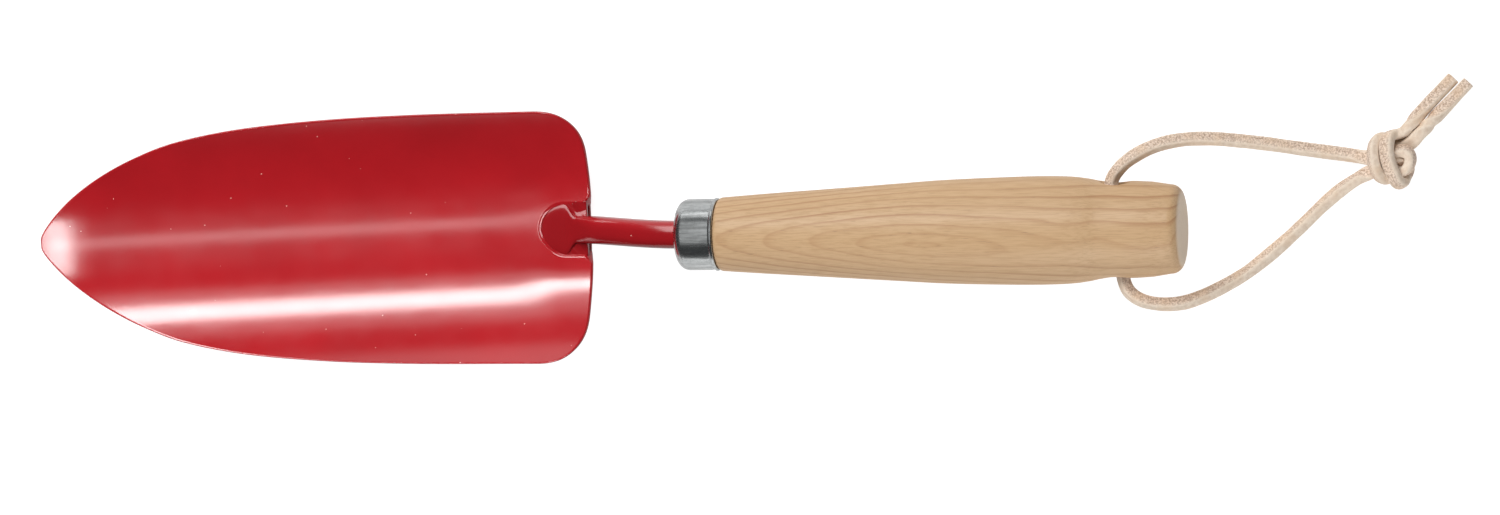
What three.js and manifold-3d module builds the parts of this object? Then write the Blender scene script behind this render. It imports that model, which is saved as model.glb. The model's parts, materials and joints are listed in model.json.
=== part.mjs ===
// Hand transplanter: a garden trowel with a pressed steel blade, a forged shank welded into a pocket in the
// blade, a ferrule, a turned wooden handle and a leather hanging loop through the handle.
// Millimetres, +Z up. The tool lies on its back with the scoop up. +X runs from the tip to the butt, the origin
// is under the middle of the tool, and Z = 0 is the surface that it lies on.

import * as THREE from "three";
import { mergeVertices } from "three/addons/utils/BufferGeometryUtils.js";
import Module from "manifold-3d";

const wasm = await Module();
wasm.setup();

// ---- Driving sizes -------------------------------------------------------------------------------------------

const GAP = 0.3; // between pieces that touch

const BLADE_LENGTH = 159.4;
const BLADE_WIDTH = 71.2;
const SHEET = 1.5;
const TROUGH_DEPTH = 13.5; // from the bottom of the trough to its edges
const TROUGH_POWER = 2.25; // 2 is a parabola, more is a flatter bottom
const CORNER_RADIUS = 13.5; // rear corners
const CORNER_POWER = 2.5; // 2 is a circle, more is a squarer corner
const TIP_RISE = 13; // how far the bottom line curls up towards the tip
const CURL_LENGTH = 150; // from the tip to where the curl starts
const CURL_POWER = 1.6;

const POCKET_DEPTH = 4;
const POCKET_RADIUS = 7.7;
const POCKET_LENGTH = 15.1; // along the blade, open at its rear edge

const NECK_LENGTH = 27.8; // bare shank between the blade and the ferrule
const ROD_RADIUS = 3.9;
const PADDLE_CLEARANCE = 0.5; // round the paddle, in the pocket
const PADDLE_THICKNESS = 3.4;
const SHOULDER_LENGTH = 3.4; // where the paddle narrows to the rod
const TANG_LENGTH = 65; // inside the wood
const TANG_END_RADIUS = 2.6;
const WELD_RADIUS = 1.6;

const FERRULE_LENGTH = 11.65;
const FERRULE_RADIUS = 10;
const FERRULE_WALL = 0.8;
const FERRULE_ROUNDING = 3.4;
const FERRULE_LIP = 0.25; // rolled rear edge, above the ferrule's own radius

const HANDLE_LENGTH = 131.3; // visible wood
const SWELL_RADIUS = 15.05;
const BUTT_ROUNDING = 3.3;
const HOLE_RADIUS = 3.5;
const HOLE_FROM_BUTT = 18.3;
const COUNTERSINK = 1.1;

const LACE_WIDTH = 3.4;
const KNOT_SIZE = [15, 16.4, 9.8];

// ---- Places, worked out from the sizes -----------------------------------------------------------------------

const TOTAL_LENGTH = BLADE_LENGTH + NECK_LENGTH + FERRULE_LENGTH + HANDLE_LENGTH;
const TIP_X = -TOTAL_LENGTH / 2;
const BLADE_REAR_X = TIP_X + BLADE_LENGTH;
const FERRULE_X = BLADE_REAR_X + NECK_LENGTH;
const WOOD_X = FERRULE_X + FERRULE_LENGTH;
const BUTT_X = WOOD_X + HANDLE_LENGTH;
const HOLE_X = BUTT_X - HOLE_FROM_BUTT;
const AXIS_Z = SWELL_RADIUS; // the handle's swell rests on the surface
const HALF_WIDTH = BLADE_WIDTH / 2;
const PADDLE_RADIUS = POCKET_RADIUS - PADDLE_CLEARANCE;
const PADDLE_Z = SHEET + GAP + PADDLE_THICKNESS / 2;

// The blade's edge from the tip to the start of a rear corner: shares of that length and of the half width.
const BLADE_OUTLINE = [
  [0, 0.045],
  [0.0096, 0.115],
  [0.037, 0.25],
  [0.0788, 0.4],
  [0.137, 0.553],
  [0.2056, 0.688],
  [0.288, 0.806],
  [0.411, 0.902],
  [0.576, 0.964],
  [0.754, 0.992],
  [1, 1],
];

// The turned handle, from the ferrule to the butt: shares of its length and of the swell's radius.
const HANDLE_OUTLINE = [
  [0.109, 0.7475],
  [0.209, 0.802],
  [0.308, 0.857],
  [0.397, 0.907],
  [0.485, 0.955],
  [0.6, 0.988],
  [0.703, 1],
  [0.763, 0.984],
  [0.798, 0.948],
  [0.829, 0.898],
  [0.852, 0.887],
  [0.895, 0.892],
  [0.936, 0.874],
];

// The thong's route, from the middle of the cross hole: X from the hole's axis, then Y and Z.
const LACE_UPPER_ROUTE = [
  [0, 0.15, 15],
  [-0.4, 5, 15],
  [-1, 10, 15],
  [-1.2, 13.6, 15],
  [1.6, 17.6, 15],
  [5.5, 20.5, 14.3],
  [10.8, 22.9, 13],
  [17.2, 24.2, 11],
  [25.1, 24.3, 8.8],
  [32.9, 23.4, 6.6],
  [41, 22.2, 4.8],
  [48.9, 20.8, 3.3],
  [56.9, 19.5, 2.4],
  [62.5, 18.7, 2.5],
  [68.1, 17.9, 3.5],
  [71.5, 17.5, 4.2],
];
const LACE_LOWER_ROUTE = [
  [0, -0.15, 15],
  [0.4, -5, 15],
  [1, -10, 15],
  [1.3, -13.8, 15],
  [2.7, -17.2, 15],
  [5.9, -19.7, 14.5],
  [11.4, -21.1, 13],
  [17.1, -21, 11],
  [22.3, -19.5, 9],
  [28.1, -16.9, 6.8],
  [34.1, -13.5, 5],
  [39.6, -9.4, 3.5],
  [44.8, -5.1, 2.5],
  [50, -0.4, 2],
  [55.2, 4.5, 1.9],
  [60.5, 8.9, 2.2],
  [65.6, 12.2, 3],
  [69.6, 14.2, 3.8],
];
const LACE_TAIL_A_ROUTE = [
  [76.2, 20, 5.5],
  [80, 26.6, 4.6],
  [84.4, 31.4, 3.6],
  [91.6, 39.1, 2.1],
];
const LACE_TAIL_B_ROUTE = [
  [79, 18.6, 5.5],
  [83.7, 25, 4.6],
  [88.9, 30.4, 3.6],
  [96.3, 38, 2.1],
];
const KNOT_CENTRE = [75.2, 17.8, 4.9];

// ---- Solids --------------------------------------------------------------------------------------------------

// A closed geometry as a solid that can be joined and cut.
function solidOf(geometry) {
  const bare = geometry.clone();
  bare.deleteAttribute("normal");
  bare.deleteAttribute("uv");
  const merged = mergeVertices(bare, 1e-3);
  const mesh = new wasm.Mesh({
    numProp: 3,
    vertProperties: merged.getAttribute("position").array,
    triVerts: new Uint32Array(merged.index.array),
  });
  return new wasm.Manifold(mesh);
}

function geometryOf(solid) {
  const mesh = solid.getMesh();
  const geometry = new THREE.BufferGeometry();
  geometry.setAttribute("position", new THREE.BufferAttribute(mesh.vertProperties, 3));
  geometry.setIndex(new THREE.BufferAttribute(mesh.triVerts, 1));
  geometry.computeVertexNormals();
  return geometry;
}

// A skin over rings of points, each with the same even number of points, closed by a strip across both ends.
function loft(rings) {
  const sides = rings[0].length;
  const last = rings.length - 1;
  const index = [];
  const at = (ring, k) => ring * sides + (k % sides);
  for (let ring = 0; ring < last; ring++) {
    for (let k = 0; k < sides; k++) {
      index.push(at(ring, k), at(ring, k + 1), at(ring + 1, k + 1));
      index.push(at(ring, k), at(ring + 1, k + 1), at(ring + 1, k));
    }
  }
  for (let k = 0; k < sides / 2 - 1; k++) {
    const across = sides - 1 - k;
    index.push(at(0, k), at(0, across), at(0, k + 1));
    index.push(at(0, k + 1), at(0, across), at(0, across - 1));
    index.push(at(last, k), at(last, k + 1), at(last, across));
    index.push(at(last, k + 1), at(last, across - 1), at(last, across));
  }
  const geometry = new THREE.BufferGeometry();
  geometry.setAttribute("position", new THREE.Float32BufferAttribute(rings.flat(2), 3));
  geometry.setIndex(index);
  geometry.computeVertexNormals();
  return geometry;
}

// A profile of [x, radius] points turned about the handle's axis.
function turned(profile, sides) {
  const geometry = new THREE.LatheGeometry(
    profile.map(([x, radius]) => new THREE.Vector2(radius, x)),
    sides,
  );
  geometry.rotateZ(-Math.PI / 2);
  geometry.translate(0, 0, AXIS_Z);
  return geometry;
}

// Points on a smooth curve through [a, b] points.
function smoothThrough(points, steps) {
  const curve = new THREE.CatmullRomCurve3(points.map(([a, b]) => new THREE.Vector3(a, b, 0)));
  return curve.getPoints(steps).map((point) => [point.x, point.y]);
}

// Points on a quarter circle about a centre, from one angle to another.
function arc([x, radius], size, from, to, steps) {
  const points = [];
  for (let i = 0; i <= steps; i++) {
    const angle = from + ((to - from) * i) / steps;
    points.push([x + size * Math.cos(angle), radius + size * Math.sin(angle)]);
  }
  return points;
}

function mix(from, to, share) {
  return from + (to - from) * share;
}

function smoothStep(from, to, value) {
  return THREE.MathUtils.smoothstep(value, from, to);
}

// ---- Blade ---------------------------------------------------------------------------------------------------

// The underside of the sheet, at a distance from the tip and off the middle.
function sheetUnderside(fromTip, y) {
  const curl = Math.max(0, (CURL_LENGTH - fromTip) / CURL_LENGTH);
  const trough = TROUGH_DEPTH * Math.pow(Math.abs(y) / HALF_WIDTH, TROUGH_POWER);
  return POCKET_DEPTH + TIP_RISE * Math.pow(curl, CURL_POWER) + trough;
}

// The sheet is as thick on the slopes of the trough as it is at the bottom.
function sheetHeight(y) {
  const slope = ((TROUGH_DEPTH * TROUGH_POWER) / HALF_WIDTH) * Math.pow(Math.abs(y) / HALF_WIDTH, TROUGH_POWER - 1);
  return SHEET * Math.hypot(1, slope);
}

// [distance from the tip, half width] along the blade.
function bladeStations() {
  const straight = BLADE_LENGTH - CORNER_RADIUS;
  const stations = smoothThrough(BLADE_OUTLINE, 20).map(([a, b]) => [a * straight, b * HALF_WIDTH]);
  const cornerSteps = 7;
  for (let i = 1; i <= cornerSteps; i++) {
    const along = Math.sin((Math.PI / 2) * (i / cornerSteps));
    const out = Math.pow(1 - Math.pow(along, CORNER_POWER), 1 / CORNER_POWER);
    stations.push([straight + CORNER_RADIUS * along, HALF_WIDTH - CORNER_RADIUS * (1 - out)]);
  }
  return stations;
}

function bladeSheet() {
  const columns = 16;
  const rings = bladeStations().map(([fromTip, half]) => {
    const under = [];
    const over = [];
    for (let i = 0; i <= columns; i++) {
      const y = half * Math.sin((Math.PI / 2) * ((2 * i) / columns - 1));
      const z = sheetUnderside(fromTip, y);
      under.push([TIP_X + fromTip, y, z]);
      over.push([TIP_X + fromTip, y, z + sheetHeight(y)]);
    }
    return [...under, ...over.reverse()];
  });
  return solidOf(loft(rings));
}

// A round-fronted block that reaches back past the blade's rear edge by `past`.
function pocketBlock(radius, bottom, top, past) {
  const frontX = BLADE_REAR_X - POCKET_LENGTH + POCKET_RADIUS;
  const shape = new THREE.Shape();
  shape.absarc(frontX, 0, radius, Math.PI / 2, (3 * Math.PI) / 2, false);
  shape.lineTo(BLADE_REAR_X + past, -radius);
  shape.lineTo(BLADE_REAR_X + past, radius);
  shape.closePath();
  const geometry = new THREE.ExtrudeGeometry(shape, {
    depth: top - bottom,
    bevelEnabled: false,
    curveSegments: 14,
  });
  geometry.translate(0, 0, bottom);
  return solidOf(geometry);
}

function blade() {
  const cup = pocketBlock(POCKET_RADIUS + SHEET, 0, POCKET_DEPTH + SHEET * 0.8, 0);
  const hollow = pocketBlock(POCKET_RADIUS, SHEET, POCKET_DEPTH + TROUGH_DEPTH, SHEET);
  return geometryOf(bladeSheet().add(cup).subtract(hollow));
}

// ---- Shank ---------------------------------------------------------------------------------------------------

const SHOULDER_X = BLADE_REAR_X - POCKET_LENGTH + POCKET_RADIUS; // the paddle's middle
const RISE_START_X = SHOULDER_X - 2;
const RISE_END_X = FERRULE_X - 3;

function shankCentre(x) {
  return mix(PADDLE_Z, AXIS_Z, smoothStep(RISE_START_X, RISE_END_X, x));
}

function shankHalfWidth(x) {
  const ahead = Math.max(0, SHOULDER_X - x);
  const round = Math.sqrt(Math.max(0.2, PADDLE_RADIUS ** 2 - ahead ** 2));
  return mix(round, ROD_RADIUS, smoothStep(SHOULDER_X, SHOULDER_X + SHOULDER_LENGTH, x));
}

// Half the height of a section square to X, so that the rod keeps its thickness on the slope.
function shankHalfHeight(x) {
  const slope = shankCentre(x + 0.5) - shankCentre(x - 0.5);
  const flat = PADDLE_THICKNESS / 2;
  const thickness = mix(flat, ROD_RADIUS, smoothStep(SHOULDER_X, BLADE_REAR_X + ROD_RADIUS, x));
  return thickness * Math.hypot(1, slope);
}

// A section that goes from a rounded bar at the paddle to a round rod at the ferrule.
function shankRing(x, halfWidth, halfHeight, power) {
  const sides = 16;
  const ring = [];
  for (let i = 0; i < sides; i++) {
    const angle = (2 * Math.PI * (i + 0.5)) / sides;
    const bulge = (value) => Math.sign(value) * Math.pow(Math.abs(value), 2 / power);
    ring.push([x, halfWidth * bulge(Math.cos(angle)), shankCentre(x) + halfHeight * bulge(Math.sin(angle))]);
  }
  return ring;
}

function shank() {
  const rings = [];
  const paddleFront = SHOULDER_X - PADDLE_RADIUS;
  const paddleSteps = 6;
  for (let i = 0; i < paddleSteps; i++) {
    const x = paddleFront + PADDLE_RADIUS * (1 - Math.cos((Math.PI / 2) * ((i + 0.3) / paddleSteps)));
    rings.push(shankRing(x, shankHalfWidth(x), shankHalfHeight(x), 5));
  }
  const neckSteps = 22;
  for (let i = 0; i <= neckSteps; i++) {
    const x = mix(SHOULDER_X, FERRULE_X, i / neckSteps);
    const power = mix(5, 2, smoothStep(SHOULDER_X, RISE_END_X, x));
    rings.push(shankRing(x, shankHalfWidth(x), shankHalfHeight(x), power));
  }
  const tangStart = FERRULE_X + FERRULE_WALL + GAP;
  rings.push(shankRing(tangStart, ROD_RADIUS, ROD_RADIUS, 2));
  rings.push(shankRing(tangStart + TANG_LENGTH, TANG_END_RADIUS, TANG_END_RADIUS, 2));
  return loft(rings);
}

// A bead between the neck and the pocket's wall, on the +Y side or the -Y side.
function weld(side) {
  const inner = ROD_RADIUS + GAP;
  const outer = POCKET_RADIUS - GAP;
  const geometry = new THREE.SphereGeometry(1, 12, 8);
  geometry.rotateX(Math.PI / 2);
  geometry.scale(WELD_RADIUS, (outer - inner) / 2, PADDLE_THICKNESS / 2);
  geometry.translate(BLADE_REAR_X - WELD_RADIUS - GAP, (side * (inner + outer)) / 2, PADDLE_Z);
  return geometry;
}

// ---- Ferrule and handle --------------------------------------------------------------------------------------

const TURNED_SIDES = 32;
const ROD_HOLE_RADIUS = ROD_RADIUS + GAP;

function ferrule() {
  const inside = FERRULE_RADIUS - FERRULE_WALL;
  const insideRounding = FERRULE_ROUNDING - FERRULE_WALL;
  const corner = FERRULE_X + FERRULE_ROUNDING;
  const lip = FERRULE_RADIUS + FERRULE_LIP;
  const profile = [
    [FERRULE_X, ROD_HOLE_RADIUS],
    ...arc([corner, FERRULE_RADIUS - FERRULE_ROUNDING], FERRULE_ROUNDING, Math.PI, Math.PI / 2, 6),
    [WOOD_X - FERRULE_WALL - FERRULE_LIP, FERRULE_RADIUS],
    [WOOD_X - FERRULE_WALL, lip],
    [WOOD_X, lip],
    [WOOD_X, inside],
    ...arc([corner, inside - insideRounding], insideRounding, Math.PI / 2, Math.PI, 5),
    [FERRULE_X + FERRULE_WALL, ROD_HOLE_RADIUS],
    [FERRULE_X, ROD_HOLE_RADIUS],
  ];
  return turned(profile, TURNED_SIDES);
}

// [x, radius] points along the outside of the wood, from the ferrule to the flat of the butt.
function woodOutline() {
  const front = [0, (FERRULE_RADIUS + FERRULE_LIP) / SWELL_RADIUS];
  const roundingStart = BUTT_X - BUTT_ROUNDING;
  const along = smoothThrough([front, ...HANDLE_OUTLINE], 22)
    .map(([a, b]) => [WOOD_X + a * HANDLE_LENGTH, b * SWELL_RADIUS])
    .filter(([x]) => x < roundingStart - 1);
  along[0][0] += GAP;
  const endRadius = along.at(-1)[1] - 0.8;
  return [...along, ...arc([roundingStart, endRadius - BUTT_ROUNDING], BUTT_ROUNDING, Math.PI / 2, 0, 5)];
}

function crossHole() {
  const reach = SWELL_RADIUS + 1;
  const rim = SWELL_RADIUS * 0.887;
  const profile = [
    [0, -reach],
    [HOLE_RADIUS + COUNTERSINK + 1, -reach],
    [HOLE_RADIUS + COUNTERSINK, -rim],
    [HOLE_RADIUS, COUNTERSINK - rim],
    [HOLE_RADIUS, rim - COUNTERSINK],
    [HOLE_RADIUS + COUNTERSINK, rim],
    [HOLE_RADIUS + COUNTERSINK + 1, reach],
    [0, reach],
  ];
  const geometry = new THREE.LatheGeometry(
    profile.map(([radius, y]) => new THREE.Vector2(radius, y)),
    24,
  );
  geometry.translate(HOLE_X, 0, AXIS_Z);
  return solidOf(geometry);
}

function handle() {
  const tenonX = FERRULE_X + FERRULE_WALL + GAP;
  const tenonRadius = FERRULE_RADIUS - FERRULE_WALL - GAP;
  const tenonRounding = FERRULE_ROUNDING - FERRULE_WALL;
  const boreEnd = tenonX + TANG_LENGTH + 2;
  const profile = [
    [boreEnd, 0],
    [boreEnd, TANG_END_RADIUS + GAP],
    [tenonX, ROD_HOLE_RADIUS + GAP],
    ...arc([tenonX + tenonRounding, tenonRadius - tenonRounding], tenonRounding, Math.PI, Math.PI / 2, 5),
    [WOOD_X + GAP, tenonRadius],
    ...woodOutline(),
    [BUTT_X, 0],
  ];
  return geometryOf(solidOf(turned(profile, TURNED_SIDES)).subtract(crossHole()));
}

// ---- Leather thong -------------------------------------------------------------------------------------------

function laceTube(route, steps) {
  const points = route.map(([x, y, z]) => new THREE.Vector3(HOLE_X + x, y, z));
  const section = new THREE.Shape();
  section.absarc(0, 0, LACE_WIDTH / 2, Math.PI / 8, Math.PI / 8 + 2 * Math.PI, false);
  return new THREE.ExtrudeGeometry(section, {
    extrudePath: new THREE.CatmullRomCurve3(points),
    steps,
    curveSegments: 4,
    bevelEnabled: false,
  });
}

function knotBody(grow, sides) {
  const geometry = new THREE.SphereGeometry(0.5, sides, sides / 2);
  geometry.rotateX(Math.PI / 2);
  geometry.scale(...KNOT_SIZE.map((size) => size + 2 * grow));
  geometry.translate(HOLE_X + KNOT_CENTRE[0], KNOT_CENTRE[1], KNOT_CENTRE[2]);
  return geometry;
}

// A stretch of the thong, cut back to just clear of the knot.
function laceToKnot(route, steps) {
  return geometryOf(solidOf(laceTube(route, steps)).subtract(solidOf(knotBody(GAP, 24))));
}

// ---- The object ----------------------------------------------------------------------------------------------

const RED_PAINT = { color: 0xa81a22, roughness: 0.35, metalness: 0 };
const PLATED_STEEL = { color: 0xb9bdc2, roughness: 0.25, metalness: 1 };
const WOOD = { color: 0xd8b487, roughness: 0.45, metalness: 0 };
const LEATHER = { color: 0xe2cfbd, roughness: 0.8, metalness: 0 };

const transplanter = new THREE.Group();

function addPiece(name, geometry, look) {
  const mesh = new THREE.Mesh(geometry, new THREE.MeshStandardMaterial(look));
  mesh.name = name;
  transplanter.add(mesh);
}

addPiece("blade", blade(), RED_PAINT);
addPiece("shank", shank(), RED_PAINT);
addPiece("weld_left", weld(1), RED_PAINT);
addPiece("weld_right", weld(-1), RED_PAINT);
addPiece("ferrule", ferrule(), PLATED_STEEL);
addPiece("handle", handle(), WOOD);
addPiece("lace_upper", laceToKnot(LACE_UPPER_ROUTE, 22), LEATHER);
addPiece("lace_lower", laceToKnot(LACE_LOWER_ROUTE, 24), LEATHER);
addPiece("lace_knot", knotBody(0, 20), LEATHER);
addPiece("lace_tail_a", laceToKnot(LACE_TAIL_A_ROUTE, 5), LEATHER);
addPiece("lace_tail_b", laceToKnot(LACE_TAIL_B_ROUTE, 5), LEATHER);

export default transplanter;
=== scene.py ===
"""A hand transplanter on a white table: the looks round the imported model, in its frame. Metres, +Z up."""

import json
import math

import bpy
import numpy as np
from mathutils import Matrix, Vector
from mathutils.geometry import delaunay_2d_cdt


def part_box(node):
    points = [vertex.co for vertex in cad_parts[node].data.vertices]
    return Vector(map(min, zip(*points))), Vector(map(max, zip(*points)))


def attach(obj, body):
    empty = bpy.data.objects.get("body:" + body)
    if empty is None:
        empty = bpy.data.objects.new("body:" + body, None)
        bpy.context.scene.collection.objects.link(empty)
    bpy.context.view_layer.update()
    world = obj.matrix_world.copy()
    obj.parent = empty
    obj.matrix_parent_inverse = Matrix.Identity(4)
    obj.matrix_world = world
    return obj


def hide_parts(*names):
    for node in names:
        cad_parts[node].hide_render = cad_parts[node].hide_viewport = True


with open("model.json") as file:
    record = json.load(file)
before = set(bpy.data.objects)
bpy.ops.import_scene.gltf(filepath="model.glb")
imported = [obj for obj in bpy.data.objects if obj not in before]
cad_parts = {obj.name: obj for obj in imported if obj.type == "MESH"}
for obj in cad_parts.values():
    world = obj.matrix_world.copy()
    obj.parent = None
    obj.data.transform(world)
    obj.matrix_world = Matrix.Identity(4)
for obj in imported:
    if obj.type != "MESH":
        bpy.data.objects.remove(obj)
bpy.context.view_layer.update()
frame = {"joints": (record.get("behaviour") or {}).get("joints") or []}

MM = 0.001

# ---- Places from the frame -----------------------------------------------------------------------

blade_low, blade_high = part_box("blade")
ferrule_low, ferrule_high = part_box("ferrule")
handle_low, handle_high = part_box("handle")

TIP_X = blade_low.x
BLADE_REAR_X = blade_high.x
FERRULE_X = ferrule_low.x
WOOD_X = ferrule_high.x
BUTT_X = handle_high.x
HALF_WIDTH = blade_high.y
SWELL_RADIUS = handle_high.y
AXIS_Z = (handle_low.z + handle_high.z) / 2
HOLE_X = frame["joints"][0]["pos_m"][0]

# ---- Camera --------------------------------------------------------------------------------------

CAMERA_DISTANCE = 1.76
CAMERA_TARGET = Vector((HOLE_X - 0.1042, 0, AXIS_Z))
CAMERA_LEAN_TO_BUTT = math.radians(13)
CAMERA_LEAN_TO_SIDE = math.radians(6)
CAMERA_ROLL = math.radians(-2.05)
SENSOR_WIDTH = 36
VIEW_WIDTH = 0.42  # metres across the picture, at the target
SHIFT_DOWN = 0.015733  # as a share of the picture's width


def make_camera():
    data = bpy.data.cameras.new("camera")
    camera = bpy.data.objects.new("camera", data)
    bpy.context.scene.collection.objects.link(camera)
    back = Vector((
        math.sin(CAMERA_LEAN_TO_BUTT) * math.cos(CAMERA_LEAN_TO_SIDE),
        math.sin(CAMERA_LEAN_TO_SIDE),
        math.cos(CAMERA_LEAN_TO_BUTT) * math.cos(CAMERA_LEAN_TO_SIDE),
    ))
    right = Vector((0, 1, 0)).cross(back).normalized()
    up = back.cross(right)
    turn = Matrix.Rotation(CAMERA_ROLL, 3, back)
    right, up = turn @ right, turn @ up
    place = Matrix((right, up, back)).transposed().to_4x4()
    place.translation = CAMERA_TARGET + CAMERA_DISTANCE * back
    camera.matrix_world = place
    data.sensor_width = SENSOR_WIDTH
    data.lens = SENSOR_WIDTH * CAMERA_DISTANCE / VIEW_WIDTH
    data.shift_y = -SHIFT_DOWN
    data.clip_start = 0.05
    data.clip_end = 20
    bpy.context.scene.camera = camera


make_camera()

# ---- Mesh helpers --------------------------------------------------------------------------------


def mesh_object(name, points, faces, smooth=True):
    mesh = bpy.data.meshes.new(name)
    mesh.from_pydata([tuple(p) for p in points], [], [tuple(f) for f in faces])
    mesh.validate()
    mesh.polygons.foreach_set("use_smooth", [smooth] * len(mesh.polygons))
    mesh.update()
    made = bpy.data.objects.new(name, mesh)
    bpy.context.scene.collection.objects.link(made)
    return made


def smooth_through(points, steps):
    """Centripetal Catmull-Rom samples through points, a given number of steps between each two."""
    p = np.array(points, float)
    p = np.vstack([2 * p[0] - p[1], p, 2 * p[-1] - p[-2]])
    made = []
    for i in range(1, len(p) - 2):
        a, b, c, d = p[i - 1:i + 3]
        before, along, after = (np.linalg.norm(v) ** 0.5 for v in (b - a, c - b, d - c))
        leave = ((b - a) / before - (c - a) / (before + along) + (c - b) / along) * along
        arrive = ((c - b) / along - (d - b) / (along + after) + (d - c) / after) * along
        for t in np.arange(steps) / steps:
            blend = (2 * t**3 - 3 * t**2 + 1, t**3 - 2 * t**2 + t, 3 * t**2 - 2 * t**3, t**3 - t**2)
            made.append(blend[0] * b + blend[1] * leave + blend[2] * c + blend[3] * arrive)
    made.append(p[-2])
    return np.array(made)


def evenly(points, step):
    """The same line as points a step apart."""
    reach = np.concatenate([[0], np.cumsum(np.linalg.norm(np.diff(points, axis=0), axis=1))])
    at = np.linspace(0, reach[-1], max(2, round(reach[-1] / step) + 1))
    return np.stack([np.interp(at, reach, points[:, k]) for k in range(points.shape[1])], 1)


def smooth_step(low, high, value):
    t = np.clip((np.asarray(value, float) - low) / (high - low), 0, 1)
    return t * t * (3 - 2 * t)


def ring_faces(rings, sides, first=0):
    """Quads between neighbouring rings of vertices that are numbered one ring after another."""
    faces = []
    for i in range(rings - 1):
        for k in range(sides):
            a = first + i * sides + k
            b = first + i * sides + (k + 1) % sides
            faces.append((a, b, b + sides, a + sides))
    return faces


def wavy(value, seed, terms=4):
    """A smooth made-up waviness between about -1 and 1 along a number."""
    rng = np.random.default_rng(seed)
    total = 0
    for k in range(terms):
        total = total + np.sin(value * rng.uniform(0.6, 1.6) * (k + 1) + rng.uniform(0, 6.3)) / (k + 1)
    return total / 1.6


# ---- Thong ---------------------------------------------------------------------------------------

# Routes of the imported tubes, from the hole's middle to the knot: X from the hole's axis, then Y and Z.
LACE_UPPER_ROUTE = [
    (0, 0.00015, 0.015), (-0.0004, 0.005, 0.015), (-0.001, 0.010, 0.015),
    (-0.0012, 0.0136, 0.015), (0.0016, 0.0176, 0.015), (0.0055, 0.0205, 0.0143),
    (0.0108, 0.0229, 0.013), (0.0172, 0.0242, 0.011), (0.0251, 0.0243, 0.0088),
    (0.0329, 0.0234, 0.0066), (0.041, 0.0222, 0.0048), (0.0489, 0.0208, 0.0033),
    (0.0569, 0.0195, 0.0024), (0.0625, 0.0187, 0.0025), (0.0681, 0.0179, 0.0035),
    (0.0715, 0.0175, 0.0042),
]
LACE_LOWER_ROUTE = [
    (0, -0.00015, 0.015), (0.0004, -0.005, 0.015), (0.001, -0.010, 0.015),
    (0.0013, -0.0138, 0.015), (0.0027, -0.0172, 0.015), (0.0059, -0.0197, 0.0145),
    (0.0114, -0.0211, 0.013), (0.0171, -0.021, 0.011), (0.0223, -0.0195, 0.009),
    (0.0281, -0.0169, 0.0068), (0.0341, -0.0135, 0.005), (0.0396, -0.0094, 0.0035),
    (0.0448, -0.0051, 0.0025), (0.050, -0.0004, 0.002), (0.0552, 0.0045, 0.0019),
    (0.0605, 0.0089, 0.0022), (0.0656, 0.0122, 0.003), (0.0696, 0.0142, 0.0038),
]
KNOT_MIDDLE = np.array([0.0752, 0.0178, 0.0049])

# The two strands on through the knot and out as tails, in millimetres from KNOT_MIDDLE in X and Y, and Z.
KNOT_FROM_UPPER = [
    (-0.6, 0.9, 4.9), (2.2, 2.4, 5.6), (4.8, 2.3, 5.7), (5.7, 0.2, 5.5), (4.7, -2.1, 5.2),
    (2.8, -4.2, 4.6), (-0.2, -5.4, 4.2), (-2.2, -6.1, 4.4), (-2.8, -6.1, 6.2),
    (-3.5, -4.8, 7.7), (-4.4, -2.4, 8.2), (-5.0, 0.2, 8.1), (-5.1, 2.8, 7.3), (-4.7, 5.0, 5.4),
    (-3.4, 5.8, 3.2), (-1.2, 4.6, 1.8), (1.8, 2.6, 1.7), (4.4, 3.2, 2.2), (6.7, 5.6, 3.6),
    (9.6, 8.5, 3.9), (14.4, 13.3, 3.0), (21.1, 20.2, 2.1),
]
KNOT_FROM_LOWER = [
    (-2.6, -2.2, 4.2), (0.6, -1.2, 4.6), (3.3, -1.2, 5.2), (4.4, -2.6, 3.4), (3.5, -4.7, 2.0),
    (2.3, -6.2, 3.6), (1.7, -6.3, 6.0), (1.0, -5.0, 7.8), (-0.1, -2.3, 8.6), (-0.9, 0.4, 8.8),
    (-1.2, 3.2, 8.4), (-0.9, 5.8, 7.2), (-0.4, 6.9, 4.9), (0.8, 5.9, 3.3), (2.6, 6.1, 3.4),
    (5.4, 9.3, 4.2), (10.0, 14.4, 3.4), (17.0, 21.5, 2.1),
]
LACE_WIDTH = 0.0034
LACE_THICKNESS = 0.0032
LACE_STEP = 0.0005
LACE_SIDES = 28
SQUARE_POWER = 4.0  # of a section: 2 is round, more is squarer
KNOTTED_POWER = 3.0
KNOT_REACH = 0.0085  # from the knot's middle to where its bands end
STRAND_SPACE = 0.0031  # between the middles of strands that press on each other
SETTLE_ROUNDS = 60
SETTLE_SMOOTHING = 0.35  # share of the way to the middle of its neighbours that a point moves in a round
SETTLE_PUSH = 0.25  # share of an overlap that each strand gives way by in a round
SETTLE_LIMIT = 0.0003  # furthest push in a round
LEAD_POINTS = 12  # of each leg, which the knot is kept clear of
TAIL_POINTS = 40  # at the end of each tail, which stay as they are
NEAR_BY_POINTS = 10  # along one strand, which don't count as touching
OTHER_STRAND = 10000  # added to the second strand's point numbers, to keep them away from the first's
UP_FOLLOWS = 0.22  # share of the way that a section turns towards its wanted direction at each point
STRAND_UNEVENNESS = 0.03
STRAND_SKEW = 0.05
KNOTTED_WIDER = 0.20
KNOTTED_THINNER = 0.06

# For each strand: its leg's turn at the handle and at the knot, and its turns in the knot and in the tail.
STRAND_TURNS = (((0.55, 0.62), 0.1, 0.1), ((0.5, 1.2), 0.3, 0.3))


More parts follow.
